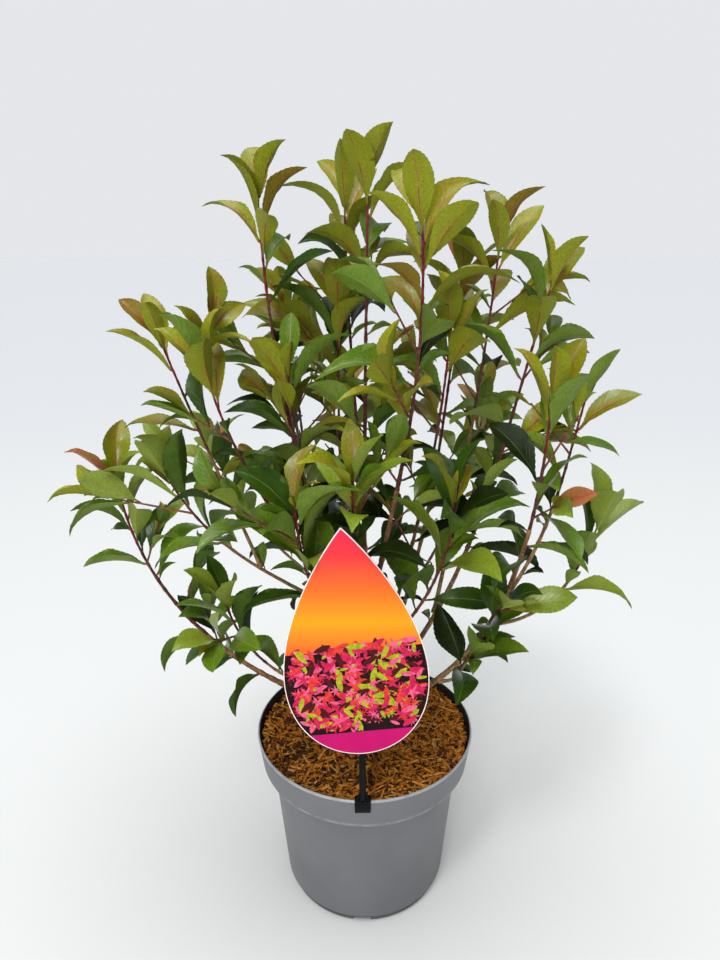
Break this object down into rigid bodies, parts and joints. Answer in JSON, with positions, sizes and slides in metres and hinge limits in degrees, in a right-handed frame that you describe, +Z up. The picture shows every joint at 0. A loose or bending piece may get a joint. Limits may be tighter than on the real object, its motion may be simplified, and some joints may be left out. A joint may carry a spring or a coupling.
{
  "type": "potted photinia shrub",
  "caption": "Young evergreen photinia shrub with olive and dark green leaves on upright red-brown shoots, in a round grey nursery pot of bark mulch, with a plain hang tag on a rim clip.",
  "frame": {"origin": "centre of the pot's flat underside", "axes": "+Z up along the pot's axis, +X to the right and -Y to the front, where the tag hangs"},
  "size_m": [0.6746, 0.5016, 0.8613],
  "materials": {
    "pot_grey": "satin",
    "bark_mulch": "matt",
    "old_bark": "matt",
    "bough_bark": "satin",
    "leaf_green": "satin",
    "tag_card": "gloss",
    "holder_black": "satin"
  },
  "bodies": {
    "root": {"pot": "pot_grey", "soil": "bark_mulch", "stock": "old_bark", "bough_left_low": "bough_bark", "bough_left_front": "bough_bark", "bough_left_mid": "bough_bark", "bough_left_rise": "bough_bark", "bough_left_tall": "bough_bark", "bough_left_inner": "bough_bark", "bough_left_twig": "bough_bark", "bough_centre_tall": "bough_bark", "bough_centre_inner": "bough_bark", "bough_front_tall": "bough_bark", "bough_front_low": "bough_bark", "bough_front_left": "bough_bark", "bough_right_tall": "bough_bark", "bough_right_rise": "bough_bark", "bough_right_inner": "bough_bark", "bough_front_right": "bough_bark", "bough_right_low": "bough_bark", "bough_right_out": "bough_bark", "bough_right_arm": "bough_bark", "bough_right_twig": "bough_bark", "bough_right_spur": "bough_bark", "bough_back_tall": "bough_bark", "bough_back_low": "bough_bark", "bough_back_left": "bough_bark", "bough_back_left_low": "bough_bark", "bough_back_right": "bough_bark", "bough_back_right_low": "bough_bark", "foliage_left_low": "leaf_green", "foliage_left_front": "leaf_green", "foliage_left_mid": "leaf_green", "foliage_left_rise": "leaf_green", "foliage_left_tall": "leaf_green", "foliage_left_inner": "leaf_green", "foliage_left_twig": "leaf_green", "foliage_centre_tall": "leaf_green", "foliage_centre_inner": "leaf_green", "foliage_front_tall": "leaf_green", "foliage_front_low": "leaf_green", "foliage_front_left": "leaf_green", "foliage_right_tall": "leaf_green", "foliage_right_rise": "leaf_green", "foliage_right_inner": "leaf_green", "foliage_front_right": "leaf_green", "foliage_right_low": "leaf_green", "foliage_right_out": "leaf_green", "foliage_right_arm": "leaf_green", "foliage_right_twig": "leaf_green", "foliage_right_spur": "leaf_green", "foliage_back_tall": "leaf_green", "foliage_back_low": "leaf_green", "foliage_back_left": "leaf_green", "foliage_back_left_low": "leaf_green", "foliage_back_right": "leaf_green", "foliage_back_right_low": "leaf_green", "tag_card": "tag_card", "tag_holder": "holder_black"}
  },
  "joints": []
}
